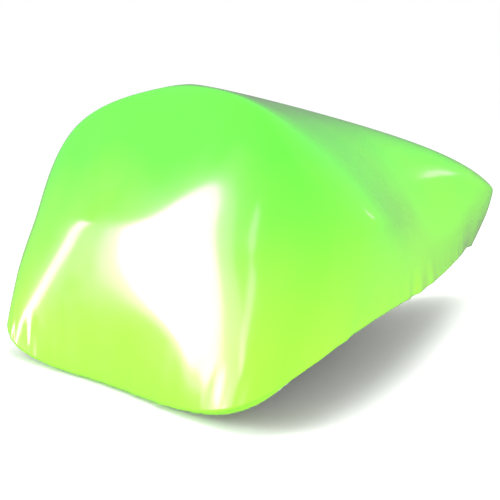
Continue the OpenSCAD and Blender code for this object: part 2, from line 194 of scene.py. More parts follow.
# %% [markdown]
# Every layer of the saddle is a bowl with a wall: an outside sheet and an inside sheet, joined by a rim. One
# helper makes them all from two grids of points whose first row is the crown, shrunk to one vertex there.

# %% Bowls from two grids


def new_piece(name, vertices, faces, smooth=True):
    mesh = bpy.data.meshes.new(name)
    mesh.from_pydata([tuple(v) for v in vertices], [], faces)
    mesh.validate()
    if smooth:
        mesh.shade_smooth()
    piece = bpy.data.objects.new(name, mesh)
    bpy.context.scene.collection.objects.link(piece)
    return piece


def sheet_faces(base, rows, columns, outward):
    faces = []
    for c in range(columns):
        d = (c + 1) % columns
        faces.append((base, base + 1 + c, base + 1 + d))
        for r in range(rows - 2):
            a = base + 1 + r * columns
            faces.append((a + c, a + columns + c, a + columns + d, a + d))
    return faces if outward else [f[::-1] for f in faces]


def bowl(name, outer, inner, rim=()):
    """A closed bowl: outer and inner are grids with the crown as first row; rim holds rows between them."""
    rows, columns = outer.shape[:2]
    layers = [outer[0, :1], outer[1:].reshape(-1, 3), inner[0, :1], inner[1:].reshape(-1, 3)]
    start = 1 + (rows - 1) * columns
    faces = sheet_faces(0, rows, columns, True) + sheet_faces(start, rows, columns, False)
    edges = [start - columns]
    for k, ring in enumerate(rim):
        layers.append(ring)
        edges.append(2 * start + k * columns)
    edges.append(2 * start - columns)
    for a, b in zip(edges, edges[1:]):
        for c in range(columns):
            d = (c + 1) % columns
            faces.append((a + c, b + c, b + d, a + d))
    return new_piece(name, np.vstack(layers), faces)


def levels(end, count):
    """Rows from the crown to a ring, closer together towards the shoulder and the hem."""
    even = np.linspace(0, 1, count)
    return end * (even - 0.035 * np.sin(2 * math.pi * even * 2) / 2)


def around(count):
    return np.arange(count) * STATIONS / count


def face_count(piece):
    return sum(len(p.vertices) - 2 for p in piece.data.polygons)


print("levels down a layer:", levels(RINGS, 5).round(2))

# %% [markdown]
# Materials are trees of shader nodes. A few short helpers keep each recipe readable: one adds a node and
# wires or sets its inputs, one starts a Principled material, and one makes noise on Object coordinates,
# which stay with the piece when it moves.

# %% Material helpers


def add_node(tree, kind, inputs=None, **settings):
    node = tree.nodes.new(kind)
    for key, value in settings.items():
        setattr(node, key, value)
    for key, value in (inputs or {}).items():
        if isinstance(value, bpy.types.NodeSocket):
            tree.links.new(value, node.inputs[key])
        else:
            node.inputs[key].default_value = value
    return node


def start_material(name, **values):
    material = bpy.data.materials.new(name)
    material.use_nodes = True
    tree = material.node_tree
    shader = tree.nodes["Principled BSDF"]
    for key, value in values.items():
        shader.inputs[key.replace("_", " ")].default_value = value
    return material, tree, shader


def noise(tree, scale, detail=3.0, stretch=(1, 1, 1), roughness=0.5):
    place = add_node(tree, "ShaderNodeTexCoord").outputs["Object"]
    mapping = add_node(tree, "ShaderNodeMapping", {"Vector": place, "Scale": stretch})
    inputs = {"Vector": mapping.outputs[0], "Scale": scale, "Detail": detail, "Roughness": roughness}
    return add_node(tree, "ShaderNodeTexNoise", inputs).outputs["Fac"]


def ramp(tree, factor, *stops):
    node = add_node(tree, "ShaderNodeValToRGB", {"Fac": factor})
    elements = node.color_ramp.elements
    while len(elements) < len(stops):
        elements.new(0.5)
    for element, (place, colour) in zip(elements, stops):
        element.position = place
        element.color = (*colour, 1) if len(colour) == 3 else colour
    return node.outputs["Color"]


def grey(value):
    return (value, value, value)


def spread(tree, factor, low, high, to_low, to_high):
    inputs = {"Value": factor, "From Min": low, "From Max": high, "To Min": to_low, "To Max": to_high}
    return add_node(tree, "ShaderNodeMapRange", inputs).outputs["Result"]


def bump(tree, shader, height, strength, distance, under=None):
    inputs = {"Height": height, "Strength": strength, "Distance": distance}
    if under is not None:
        inputs["Normal"] = under
    node = add_node(tree, "ShaderNodeBump", inputs)
    tree.links.new(node.outputs["Normal"], shader.inputs["Normal"])
    return node.outputs["Normal"]


print("material helpers ready")

# %% [markdown]
# The cover is a stretch film with a wet, mirror-like coat. Its green is nowhere quite even, and low on the sides
# it is painted yellower, a painted reflection of a warm floor. A clear coat over a glossy base gives two
# reflections, one sharp and one soft, which is what makes a rubber film look wet rather than merely shiny.

# %% The film's lime green
FILM_LIME = (0.120, 0.82, 0.050)
# The yellow below is a painted reflection of a warm floor, laid into the film's colour low on its sides.
FILM_PAINTED_REFLECTION_YELLOW = (0.33, 0.85, 0.045)


def film_material():
    material, tree, shader = start_material(
        "glossy_lime_film", Roughness=0.2, IOR=1.4, Coat_Weight=1.0, Coat_Roughness=0.09, Coat_IOR=1.45
    )
    place = add_node(tree, "ShaderNodeTexCoord").outputs["Object"]
    height = add_node(tree, "ShaderNodeSeparateXYZ", {0: place}).outputs["Z"]
    clouds = noise(tree, 14, 3)
    lift = {0: clouds, 1: 0.05, 2: height}
    raised = add_node(tree, "ShaderNodeMath", lift, operation="MULTIPLY_ADD").outputs[0]
    # Painted reflection: the colour turns yellower towards the film's lower edge, standing in for a warm floor mirrored
    # there.
    low = spread(tree, raised, 0.03, 0.10, 0, 1)
    colour = ramp(tree, low, (0.0, FILM_PAINTED_REFLECTION_YELLOW), (1.0, FILM_LIME))
    tree.links.new(colour, shader.inputs["Base Color"])
    tree.links.new(spread(tree, noise(tree, 60, 2), 0.3, 0.7, 0.16, 0.26), shader.inputs["Roughness"])
    pull = noise(tree, 90, 2, stretch=(0.35, 1, 1))
    bump(tree, shader, pull, 0.05, 0.0006)
    return material


FILM = film_material()
print("film material has", len(FILM.node_tree.nodes), "nodes")

# %% [markdown]
# The film itself is one drum-tight sheet. A smooth surface isn't enough: the elastic pulls the lower edge
# into small pleats that fade out a finger's width above it, and the sheet rides over the pad in broad,
# shallow waves. Both are added along the normals, as sums of sines with seeded phases, so that they close
# up round the rim. They are drawn, not simulated: the sheet is taken as held everywhere by the pad, and no
# cloth simulation was tried.

# %% The film
FILM_T = 0.0008
FILM_ROWS, FILM_COLUMNS = 132, 300
PLEAT_START = 5.25
PLEAT_DEPTH = 0.0005
WAVE_DEPTH = 0.0004
GATHERS = [
    (7.35, 0.22, 2.2), (8.2, 0.3, 1.0), (9.6, 0.35, 1.3),
    (0.45, 0.3, 0.8), (1.1, 0.3, 1.1), (4.9, 0.4, 1.2),
]


def smooth_step(x, low, high):
    t = np.clip((x - low) / (high - low), 0, 1)
    return t * t * (3 - 2 * t)


def ripples(columns, counts, seed):
    """Seeded sines with whole counts round the rim, from -1 to 1."""
    dice = np.random.default_rng(seed)
    turn = columns / STATIONS * 2 * math.pi
    waves = [dice.uniform(0.5, 1) * np.sin(n * turn + dice.uniform(0, 6.28)) for n in counts]
    total = np.sum(waves, axis=0)
    return total / np.abs(total).max()


def gathering(columns):
    """How strongly the elastic gathers the film at each place round the rim."""
    amount = np.full(len(columns), 0.45)
    for at, width, more in GATHERS:
        away = np.abs((columns - at + STATIONS / 2) % STATIONS - STATIONS / 2)
        amount += more * np.exp(-((away / width) ** 2))
    return amount


def film_relief(rows, columns):
    near_hem = smooth_step(rows, PLEAT_START, RINGS)[:, None]
    pleats = ripples(columns, [41, 53, 67, 86], 3) * gathering(columns)
    longer = smooth_step(rows, PLEAT_START - 0.9, RINGS)[:, None] * ripples(columns, [13, 17, 22], 5)
    sway = ripples(columns, [3, 5, 8], 7)[None, :] * np.sin(rows * 1.9 + 0.6)[:, None]
    body = smooth_step(rows, 2.2, 3.6)[:, None]
    raised = PLEAT_DEPTH * near_hem * (gathering(columns) + pleats) / 2
    return raised + WAVE_DEPTH * (0.5 * longer + 0.6 * body * sway)


FILM_LEVELS = levels(RINGS, FILM_ROWS)
points, normals = surface(FILM_NET, FILM_LEVELS, around(FILM_COLUMNS))
relief = film_relief(FILM_LEVELS, around(FILM_COLUMNS))[:, :, None]
outside = points + normals * relief
film = bowl("film_cover", outside, outside - normals * FILM_T)
film.data.materials.append(FILM)
print("film has", face_count(film), "triangles")

# %% [markdown]
# At its edge the film is rolled inwards into a hem that carries the elastic, and only the bottom of the roll
# shows, as a thin lip. The roll is an open C, so that the cord can be threaded in, and it is gathered more
# tightly than the film above it. It is swept round the same
# edge as the film: a profile of points is placed at each step, and its size follows the gathers.

# %% The rolled hem
HEM_R, HEM_WALL, ELASTIC_R = 2.0, 0.6, 1.1
LAY_GAP = 0.05
HEM_STEPS = 560
HEM_DROP = 1
HEM_OPEN, HEM_CLOSE = math.radians(-30), math.radians(230)


def rim_frames(columns):
    """Place, way out and way down along the film's edge."""
    place, out = surface(FILM_NET, np.array([5.9, RINGS]), columns)
    fall = place[1] - place[0]
    return place[1], out[1], fall / np.linalg.norm(fall, axis=1, keepdims=True)


def rim_path(columns, out_by, down_by):
    place, out, fall = rim_frames(columns)
    return place + out * out_by + fall * down_by


def swept_ring(name, profiles, middle, out, fall):
    """A ring swept with one closed profile of (outward, down) points for each step."""
    steps, count = profiles.shape[:2]
    points = middle[:, None] + out[:, None] * profiles[..., :1] + fall[:, None] * profiles[..., 1:]
    faces = []
    for s in range(steps):
        a, b = s * count, (s + 1) % steps * count
        faces += [(a + k, a + (k + 1) % count, b + (k + 1) % count, b + k) for k in range(count)]
    return new_piece(name, points.reshape(-1, 3), faces)


def hem_profiles(columns):
    gather = ripples(columns, [74, 97, 120], 11) * gathering(columns)
    size = HEM_R * (1 + 0.07 * gather)[:, None]
    angles = np.linspace(HEM_OPEN, HEM_CLOSE, 15)
    outer = np.stack([size * np.cos(angles), size * np.sin(angles)], axis=2)
    inner = np.stack([(size - HEM_WALL) * np.cos(angles), (size - HEM_WALL) * np.sin(angles)], axis=2)[:, ::-1]
    return np.concatenate([outer, inner], axis=1) * MM


hem_columns = around(HEM_STEPS)
hem_out, hem_down = -(FILM_T / MM + LAY_GAP + HEM_R) * MM, (HEM_DROP - HEM_R) * MM
_, rim_out, rim_fall = rim_frames(hem_columns)
hem = swept_ring(
    "rolled_hem", hem_profiles(hem_columns), rim_path(hem_columns, hem_out, hem_down), rim_out, rim_fall
)
hem.data.materials.append(FILM)
print("hem has", face_count(hem), "triangles")

# %% [markdown]
# Geometry Nodes trees are built here the same way as materials. A tree takes the mesh it is given, has named
# inputs for its sizes, and its result is turned into a plain mesh, because the modifier itself isn't kept.

# %% Geometry Nodes helpers


def start_tree(name, **sizes):
    tree = bpy.data.node_groups.new(name, "GeometryNodeTree")
    tree.interface.new_socket("Geometry", in_out="INPUT", socket_type="NodeSocketGeometry")
    tree.interface.new_socket("Geometry", in_out="OUTPUT", socket_type="NodeSocketGeometry")
    for key, value in sizes.items():
        kind = "NodeSocketInt" if isinstance(value, int) else "NodeSocketFloat"
        tree.interface.new_socket(key, in_out="INPUT", socket_type=kind).default_value = value
    given = tree.nodes.new("NodeGroupInput").outputs
    return tree, given


def end_tree(tree, geometry, material):
    plain = add_node(tree, "GeometryNodeRealizeInstances", {0: geometry}).outputs[0]
    painted = add_node(tree, "GeometryNodeSetMaterial", {"Geometry": plain, "Material": material}).outputs[0]
    tree.links.new(painted, tree.nodes.new("NodeGroupOutput").inputs[0])


def grow(name, seed_mesh, tree, **sizes):
    """Runs a tree on a mesh and returns the result as a new plain piece."""
    holder = bpy.data.objects.new(name + "_seed", seed_mesh)
    bpy.context.scene.collection.objects.link(holder)
    modifier = holder.modifiers.new("nodes", "NODES")
    modifier.node_group = tree
    sockets = {item.name: item.identifier for item in tree.interface.items_tree if item.in_out == "INPUT"}
    for key, value in sizes.items():
        modifier[sockets[key]] = value
    depsgraph = bpy.context.evaluated_depsgraph_get()
    mesh = bpy.data.meshes.new_from_object(holder.evaluated_get(depsgraph))
    mesh.name = name
    mesh.shade_smooth()
    holder.modifiers.clear()
    bpy.data.objects.remove(holder)
    piece = bpy.data.objects.new(name, mesh)
    bpy.context.scene.collection.objects.link(piece)
    return piece


def path_mesh(name, points, closed=True):
    mesh = bpy.data.meshes.new(name)
    count = len(points)
    edges = [(k, (k + 1) % count) for k in range(count if closed else count - 1)]
    mesh.from_pydata([tuple(p) for p in points], edges, [])
    return mesh


print("tree helpers ready")

# %% [markdown]
# Braided elastic is a rubber core in a sleeve of yarns that cross over and under each other. The tree makes
# it by rule: the edge's path is copied once for each yarn, each copy winds round the path, half of them one
# way and half the other, and each swings in and out so that it passes over one yarn and under the next.

# %% The braided elastic
ELASTIC_YARNS = 8
BRAID_TURNS = 52


def elastic_material():
    material, tree, shader = start_material("elastic_yarn", Roughness=0.75, Sheen_Weight=0.4)
    tint = ramp(tree, noise(tree, 900, 2), (0.3, (0.55, 0.56, 0.53)), (0.7, (0.86, 0.87, 0.83)))
    tree.links.new(tint, shader.inputs["Base Color"])
    bump(tree, shader, noise(tree, 4000, 2), 0.4, 0.0001)
    return material


def maths(tree, operation, *values):
    return add_node(tree, "ShaderNodeMath", dict(enumerate(values)), operation=operation).outputs[0]


def vector_maths(tree, operation, **inputs):
    node = add_node(tree, "ShaderNodeVectorMath", operation=operation)
    for key, value in inputs.items():
        socket = node.inputs["Scale"] if key == "scale" else node.inputs[int(key[1:])]
        tree.links.new(value, socket)
    return node.outputs[0]


def braid_tree(material):
    tree, given = start_tree("braid", Radius=0.001, Yarn=0.0003, Yarns=ELASTIC_YARNS, Turns=BRAID_TURNS, Steps=900)
    path = add_node(tree, "GeometryNodeMeshToCurve", {"Mesh": given["Geometry"]}).outputs[0]
    path = add_node(tree, "GeometryNodeResampleCurve", {"Curve": path, "Count": given["Steps"]}).outputs[0]
    path = add_node(tree, "GeometryNodeSetCurveNormal", {"Curve": path}, mode="Z_UP").outputs[0]
    copies = add_node(
        tree, "GeometryNodeDuplicateElements", {"Geometry": path, "Amount": given["Yarns"]}, domain="SPLINE"
    )
    number = copies.outputs["Duplicate Index"]
    side = maths(tree, "MULTIPLY_ADD", maths(tree, "MODULO", number, 2.0), 2.0, -1.0)
    factor = add_node(tree, "GeometryNodeSplineParameter").outputs["Factor"]
    full = maths(tree, "MULTIPLY", factor, 2 * math.pi)
    wind = maths(tree, "MULTIPLY", maths(tree, "MULTIPLY", full, given["Turns"]), side)
    pair = maths(tree, "FLOOR", maths(tree, "DIVIDE", number, 2.0))
    phase = maths(tree, "MULTIPLY", pair, 4 * math.pi / ELASTIC_YARNS)
    angle = maths(tree, "ADD", wind, phase)
    swing = maths(tree, "MULTIPLY", maths(tree, "COSINE", maths(tree, "MULTIPLY", angle, ELASTIC_YARNS / 2)), side)
    lift = maths(tree, "MULTIPLY_ADD", swing, maths(tree, "MULTIPLY", given["Yarn"], 0.35), given["Radius"])
    normal = add_node(tree, "GeometryNodeInputNormal").outputs[0]
    tangent = add_node(tree, "GeometryNodeInputTangent").outputs[0]
    across = vector_maths(tree, "CROSS_PRODUCT", i0=tangent, i1=normal)
    ways = [
        vector_maths(tree, "SCALE", i0=way, scale=maths(tree, "MULTIPLY", lift, maths(tree, curve, angle)))
        for way, curve in ((normal, "COSINE"), (across, "SINE"))
    ]
    offset = vector_maths(tree, "ADD", i0=ways[0], i1=ways[1])
    yarns = add_node(tree, "GeometryNodeSetPosition", {"Geometry": copies.outputs[0], "Offset": offset}).outputs[0]
    tubes = []
    heart = maths(tree, "SUBTRACT", given["Radius"], given["Yarn"])
    for line, size, sides in ((yarns, given["Yarn"], 6), (path, heart, 10)):
        ring = add_node(tree, "GeometryNodeCurvePrimitiveCircle", {"Resolution": sides, "Radius": size}).outputs[0]
        tube = add_node(tree, "GeometryNodeCurveToMesh", {"Curve": line, "Profile Curve": ring})
        tubes.append(tube.outputs[0])
    joined = add_node(tree, "GeometryNodeJoinGeometry")
    for tube in tubes:
        tree.links.new(tube, joined.inputs[0])
    end_tree(tree, joined.outputs[0], material)
    return tree


elastic = grow(
    "braided_elastic",
    path_mesh("elastic_path", rim_path(around(240), hem_out, hem_down)),
    braid_tree(elastic_material()),
    Radius=ELASTIC_R * MM * 0.78,
    Yarn=ELASTIC_R * MM * 0.2,
)
print("elastic has", face_count(elastic), "triangles")

# %% [markdown]
# The saddle under the cover has a skin of grained vinyl, drawn over the foam and turned in at the edge. Its
# grain is two sizes of cells in a bump, one for the pebbles and one for the creases between them, and the
# creases are also painted darker, a painted shade.

# %% The saddle's vinyl skin
FILM_GAP, SKIN_T = 0.3, 1.2
PAD_END = 5.7
LAYER_ROWS, LAYER_COLUMNS = 70, 180


def vinyl_material():
    material, tree, shader = start_material("grained_vinyl", Roughness=0.42, Coat_Weight=0.15, Coat_Roughness=0.3)
    place = add_node(tree, "ShaderNodeTexCoord").outputs["Object"]
    pebble = add_node(tree, "ShaderNodeTexVoronoi", {"Vector": place, "Scale": 620}, feature="F1").outputs["Distance"]
    crease = add_node(
        tree, "ShaderNodeTexVoronoi", {"Vector": place, "Scale": 210}, feature="DISTANCE_TO_EDGE"
    ).outputs["Distance"]
    # Painted shade: the colour darkens into the grain's creases.
    tint = ramp(tree, crease, (0.0, grey(0.006)), (0.12, grey(0.018)), (1.0, grey(0.026)))
    tree.links.new(tint, shader.inputs["Base Color"])
    tree.links.new(spread(tree, noise(tree, 40), 0.3, 0.7, 0.34, 0.5), shader.inputs["Roughness"])
    under = bump(tree, shader, crease, 0.35, 0.0005)
    bump(tree, shader, pebble, 0.25, 0.0002, under)
    return material


def layer(net, depth, rows, columns=LAYER_COLUMNS):
    points, normals = surface(net, rows, around(columns))
    return points - normals * depth * MM


layer_levels = levels(PAD_END, LAYER_ROWS)
skin_out = FILM_T / MM + FILM_GAP
skin_outer = layer(FILM_NET, skin_out, layer_levels)
skin_inner = layer(FILM_NET, skin_out + SKIN_T, layer_levels)
_, edge_out = surface(FILM_NET, np.array([PAD_END - 0.01, PAD_END]), around(LAYER_COLUMNS))
edge_way = skin_outer[-1] - skin_outer[-2]
edge_way /= np.linalg.norm(edge_way, axis=1, keepdims=True)
skin_rim = [
    (skin_outer[-1] + skin_inner[-1]) / 2
    + edge_out[1] * math.cos(a) * SKIN_T * MM / 2
    + edge_way * math.sin(a) * SKIN_T * MM / 2
    for a in (math.radians(45), math.radians(90), math.radians(135))
]
skin = bowl("vinyl_skin", skin_outer, skin_inner, skin_rim)
skin.data.materials.append(vinyl_material())
print("skin has", face_count(skin), "triangles")

# %% [markdown]
# The pad is a single block of moulded foam between the skin and the base, thick over the rear and thin over
# the nose. Its lower edge bulges slightly where it is squeezed between the two, and moulded foam has a closed
# skin with small bubbles, drawn here as shallow cells of two sizes.

# %% The foam pad
EDGE_BULGE = 1.2


def foam_material():
    material, tree, shader = start_material("moulded_foam", Roughness=0.85, Sheen_Weight=0.2)
    place = add_node(tree, "ShaderNodeTexCoord").outputs["Object"]
    bubbles = add_node(tree, "ShaderNodeTexVoronoi", {"Vector": place, "Scale": 480}).outputs["Distance"]
    tint = ramp(tree, noise(tree, 35, 4), (0.3, (0.62, 0.52, 0.33)), (0.7, (0.78, 0.70, 0.50)))
    tree.links.new(tint, shader.inputs["Base Color"])
    under = bump(tree, shader, bubbles, 0.5, 0.0004)
    bump(tree, shader, noise(tree, 2500, 2), 0.3, 0.0001, under)
    return material


foam_depth = skin_out + SKIN_T + LAY_GAP
foam_outer = layer(FILM_NET, foam_depth, layer_levels)
foam_inner = layer(BASE_NET, -LAY_GAP, layer_levels)
foam_rim = [
    foam_outer[-1] * (1 - k) + foam_inner[-1] * k + edge_way * EDGE_BULGE * MM * math.sin(k * math.pi)
    for k in (0.04, 0.14, 0.3, 0.5, 0.7, 0.86, 0.96)
]
foam = bowl("foam_cushion", foam_outer, foam_inner, foam_rim)
foam.data.materials.append(foam_material())
print("foam has", face_count(foam), "triangles")

# %% [markdown]
# The base is a moulded plastic tray with an even wall, stiffened underneath by ribs, and with bosses that the
# rail sockets are screwed to. The ribs are strips that follow lines on the tray's inside face, so they are
# made from the same surface: each is a row of points on the wall and the same row set in by its height.

# %% The moulded base
BASE_T = 3
RIB_T = 1.8
BOSS_R, BOSS_LOW = 6, 11
REAR_SCREW, NOSE_SCREW = (1.8, 1.9), (1.85, 4.1)
SCREW_R = 2


def plastic_material(name, shade, grain):
    material, tree, shader = start_material(name, Specular_IOR_Level=0.45)
    tint = ramp(tree, noise(tree, 25, 4), (0.3, grey(shade * 0.75)), (0.7, grey(shade * 1.25)))
    tree.links.new(tint, shader.inputs["Base Color"])
    tree.links.new(spread(tree, noise(tree, 70, 3), 0.3, 0.7, 0.38, 0.58), shader.inputs["Roughness"])
    under = bump(tree, shader, noise(tree, grain, 2), 0.35, 0.00015)
    bump(tree, shader, noise(tree, 45, 1), 0.15, 0.001, under)
    return material


def on_base(rows, columns, depth):
    """Points at pairs of (ring, station) under the base's outside face."""
    found = []
    for t, u in zip(rows, columns):
        point, normal = surface(BASE_NET, np.array([t]), np.array([u % STATIONS]))
        found.append(point[0, 0] - normal[0, 0] * depth * MM)
    return np.array(found)


def rib(rows, columns, heights):
    """A closed strip standing in from the base's wall along a line of (ring, station) pairs."""
    root = on_base(rows, columns, BASE_T - 0.6)
    wall_in = on_base(rows, columns, BASE_T + 1) - on_base(rows, columns, BASE_T)
    wall_in /= np.linalg.norm(wall_in, axis=1, keepdims=True)
    tip = root + wall_in * (np.array(heights)[:, None] + 0.6) * MM
    along = np.gradient(root, axis=0)
    side = np.cross(along, wall_in)
    side *= RIB_T * MM / 2 / np.linalg.norm(side, axis=1, keepdims=True)
    loops = np.stack([root - side, tip - side * 0.7, tip + side * 0.7, root + side], axis=1)
    count = len(root)
    faces = [
        (4 * k + i, 4 * k + (i + 1) % 4, 4 * k + 4 + (i + 1) % 4, 4 * k + 4 + i)
        for k in range(count - 1)
        for i in range(4)
    ]
    faces += [(3, 2, 1, 0), tuple(4 * (count - 1) + i for i in range(4))]
    return loops.reshape(-1, 3), faces


def turned(profile, place, sides=36):
    """A closed turned shape round a vertical axis from (radius, height) points."""
    vertices, faces = [], []
    for radius, height in profile:
        for k in range(sides):
            a = 2 * math.pi * k / sides
            across, along = radius * MM * math.cos(a), radius * MM * math.sin(a)
            vertices.append((place[0] + across, place[1] + along, height * MM + place[2]))
    for r in range(len(profile) - 1):
        for k in range(sides):
            d = (k + 1) % sides
            faces.append((r * sides + k, r * sides + d, (r + 1) * sides + d, (r + 1) * sides + k))
    if profile[0][0] > 0:
        faces.append(tuple(range(sides))[::-1])
        faces.append(tuple((len(profile) - 1) * sides + k for k in range(sides)))
    return np.array(vertices), faces


def merged(name, shapes):
    """One piece from several closed shapes, all with their faces turned outwards."""
    mesh = bmesh.new()
    for vertices, faces in shapes:
        made = [mesh.verts.new(tuple(v)) for v in vertices]
        for face in faces:
            mesh.faces.new([made[i] for i in face])
    bmesh.ops.recalc_face_normals(mesh, faces=mesh.faces)
    data = bpy.data.meshes.new(name)
    mesh.to_mesh(data)
    mesh.free()
    piece = bpy.data.objects.new(name, data)
    bpy.context.scene.collection.objects.link(piece)
    return piece


def rib_set():
    shapes = []
    for start in (0.0, 0.9, 1.8, 3.1, 6.9, 8.2, 9.1):
        rows = np.linspace(2.6, 5.1, 22)
        heights = 5 * np.sin(np.linspace(0.12, math.pi - 0.25, 22)) ** 0.6
        shapes.append(rib(rows, np.full(22, start), heights))
    for ring, low in ((2.45, 4.2), (4.3, 3.2)):
        columns = np.linspace(6.6, 13.4, 120)
        heights = low * np.sin(np.linspace(0.1, math.pi - 0.1, 120)) ** 0.35
        shapes.append(rib(np.full(120, ring), columns, heights))
    return shapes


def bosses():
    shapes = []
    drop = BASE_T / 2 + BOSS_LOW
    for t, u in (REAR_SCREW, NOSE_SCREW):
        for way in (1, -1):
            x, y, z = on_base([t], [u], BASE_T / 2)[0]
            bore = SCREW_R + LAY_GAP
            profile = [(bore, 0), (BOSS_R - 0.6, 0), (BOSS_R, 0.6), (BOSS_R, drop - 0.5), (bore, drop - 0.5), (bore, 0)]
            shapes.append(turned(profile, (x, way * y, z - drop * MM)))
    return shapes


base_outer = layer(BASE_NET, 0, layer_levels)
base_inner = layer(BASE_NET, BASE_T, layer_levels)
base_way = base_outer[-1] - base_outer[-2]
base_way /= np.linalg.norm(base_way, axis=1, keepdims=True)
base_rim = [(base_outer[-1] * (1 - k) + base_inner[-1] * k) + base_way * 0.4 * MM for k in (0.12, 0.88)]
tray = bowl("base_tray", base_outer, base_inner, base_rim)
fittings = merged("base_fittings", rib_set() + bosses())
base_plastic = plastic_material("base_plastic", 0.018, 1400)
for piece in (tray, fittings):
    piece.data.materials.append(base_plastic)
print("base has", face_count(tray), "and", face_count(fittings), "triangles")

# %% [markdown]
# Staples hold the skin's edge to the tray. Each is the same bent wire, so a tree places one on each point of
# a small mesh that also stores which way is up and which way is along the wall at that point.

# %% Wire staples
STAPLE_COLUMNS = 56
STAPLE_RING = (4.9, 5.4)
STAPLE_LIFT = 0.9


def staple_points():
    wall = layer(BASE_NET, BASE_T, np.array(STAPLE_RING), STAPLE_COLUMNS)
    places, ups, alongs = [], [], []
    for c in range(0, STAPLE_COLUMNS, 2):
        if abs(c + 0.5 - STAPLE_COLUMNS / 2) <= 2:
            continue
        d = (c + 1) % STAPLE_COLUMNS
        a, b, e, f = wall[0, c], wall[0, d], wall[1, d], wall[1, c]
        along = b - a + e - f
        up = np.cross(f - b, e - a)
        up /= np.linalg.norm(up)
        places.append((a + b + e + f) / 4 + up * STAPLE_LIFT * MM)
        ups.append(up)
        alongs.append(along / np.linalg.norm(along))
    mesh = path_mesh("staple_points", places, closed=False)
    for name, values in (("up", ups), ("along", alongs)):
        data = mesh.attributes.new(name, "FLOAT_VECTOR", "POINT").data
        data.foreach_set("vector", np.array(values, np.float32).ravel())
    return mesh


def wire_material():
    material, tree, shader = start_material("staple_wire", Metallic=1.0)
    tint = ramp(tree, noise(tree, 300, 3), (0.3, grey(0.42)), (0.7, grey(0.66)))
    tree.links.new(tint, shader.inputs["Base Color"])
    tree.links.new(spread(tree, noise(tree, 700), 0.3, 0.7, 0.25, 0.45), shader.inputs["Roughness"])
    return material


def staple_tree(material):
    tree, given = start_tree("staples", Width=0.004, Wire=0.0004, Leg=0.0012)
    half = maths(tree, "MULTIPLY", given["Width"], 0.5)
    back = maths(tree, "MULTIPLY", half, -1.0)
    leg = maths(tree, "MULTIPLY", given["Leg"], -1.0)
    ends = [add_node(tree, "ShaderNodeCombineXYZ", {"X": x, "Z": leg}).outputs[0] for x in (back, half)]
    tops = [add_node(tree, "ShaderNodeCombineXYZ", {"X": x, "Z": given["Wire"]}).outputs[0] for x in (back, half)]
    bend = {"Resolution": 14, "Start": ends[0], "Start Handle": tops[0], "End Handle": tops[1], "End": ends[1]}
    wire = add_node(tree, "GeometryNodeCurvePrimitiveBezierSegment", bend).outputs[0]
    ring = add_node(tree, "GeometryNodeCurvePrimitiveCircle", {"Resolution": 8, "Radius": given["Wire"]}).outputs[0]
    staple = add_node(
        tree, "GeometryNodeCurveToMesh", {"Curve": wire, "Profile Curve": ring, "Fill Caps": True}
    ).outputs[0]
    ways = [
        add_node(tree, "GeometryNodeInputNamedAttribute", {"Name": name}, data_type="FLOAT_VECTOR").outputs[0]
        for name in ("up", "along")
    ]
    turn = add_node(
        tree, "FunctionNodeAxesToRotation", {0: ways[0], 1: ways[1]}, primary_axis="Z", secondary_axis="X"
    ).outputs[0]
    inputs = {"Points": given["Geometry"], "Instance": staple, "Rotation": turn}
    placed = add_node(tree, "GeometryNodeInstanceOnPoints", inputs).outputs[0]
    end_tree(tree, placed, material)
    return tree


staples = grow("wire_staples", staple_points(), staple_tree(wire_material()))
print("staples have", face_count(staples), "triangles")

# %% [markdown]
# The rails, plates, bolt, nuts, washers and collar are exact as the frame has them, so they only need their
# finishes. Metals differ more in roughness and in what is worn than in colour: drawn rod is smooth along its
# length, forged plates are blasted, zinc plating is faintly mottled and a painted collar has bare edges.

# %% Metal finishes


def metal_material(name, low, high, rough, stretch=(1, 1, 1), grain=220, depth=0.00006, strength=0.3):
    material, tree, shader = start_material(name, Metallic=1.0)
    marks = noise(tree, grain, 4, stretch)
    tree.links.new(ramp(tree, noise(tree, 38, 4), (0.3, low), (0.7, high)), shader.inputs["Base Color"])
    tree.links.new(spread(tree, marks, 0.25, 0.75, rough[0], rough[1]), shader.inputs["Roughness"])
    bump(tree, shader, marks, strength, depth)
    return material


def worn_paint_material():
    material, tree, shader = start_material("painted_steel", Coat_Weight=0.4, Coat_Roughness=0.2)
    edge = add_node(tree, "ShaderNodeNewGeometry").outputs["Pointiness"]
    chips = add_node(tree, "ShaderNodeMath", {0: noise(tree, 160, 4), 1: 0.12, 2: edge}, operation="MULTIPLY_ADD")
    bare = spread(tree, chips.outputs[0], 0.585, 0.61, 0, 1)
    tint = ramp(tree, bare, (0.0, grey(0.03)), (1.0, grey(0.42)))
    tree.links.new(tint, shader.inputs["Base Color"])
    tree.links.new(bare, shader.inputs["Metallic"])
    tree.links.new(spread(tree, noise(tree, 90, 3), 0.3, 0.7, 0.28, 0.42), shader.inputs["Roughness"])
    bump(tree, shader, noise(tree, 320, 2), 0.15, 0.0001)
    return material


ROD = metal_material("drawn_steel_rod", grey(0.50), grey(0.66), (0.16, 0.34), stretch=(0.08, 1, 1), grain=500)
FORGED = metal_material("blasted_steel", grey(0.20), grey(0.32), (0.40, 0.58), grain=900, depth=0.0002, strength=0.5)
ZINC = metal_material("zinc_plating", (0.52, 0.53, 0.50), (0.70, 0.72, 0.70), (0.22, 0.42), grain=260)
COLLAR = worn_paint_material()
SOCKET = plastic_material("socket_nylon", 0.03, 900)
FINISHES = {
    ROD: ["rail_left", "rail_right"],
    FORGED: ["inner_plate_left", "inner_plate_right", "outer_plate_left", "outer_plate_right"],
    ZINC: ["clamp_bolt", "clamp_nuts", "clamp_washers", "socket_screws"],
    COLLAR: ["post_collar"],
    SOCKET: ["nose_socket", "rear_socket_left", "rear_socket_right"],
}
for material, names in FINISHES.items():
    for name in names:
        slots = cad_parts[name].material_slots
        for slot in slots:
            slot.material = material
    print(material.name, "on", len(names), "parts")
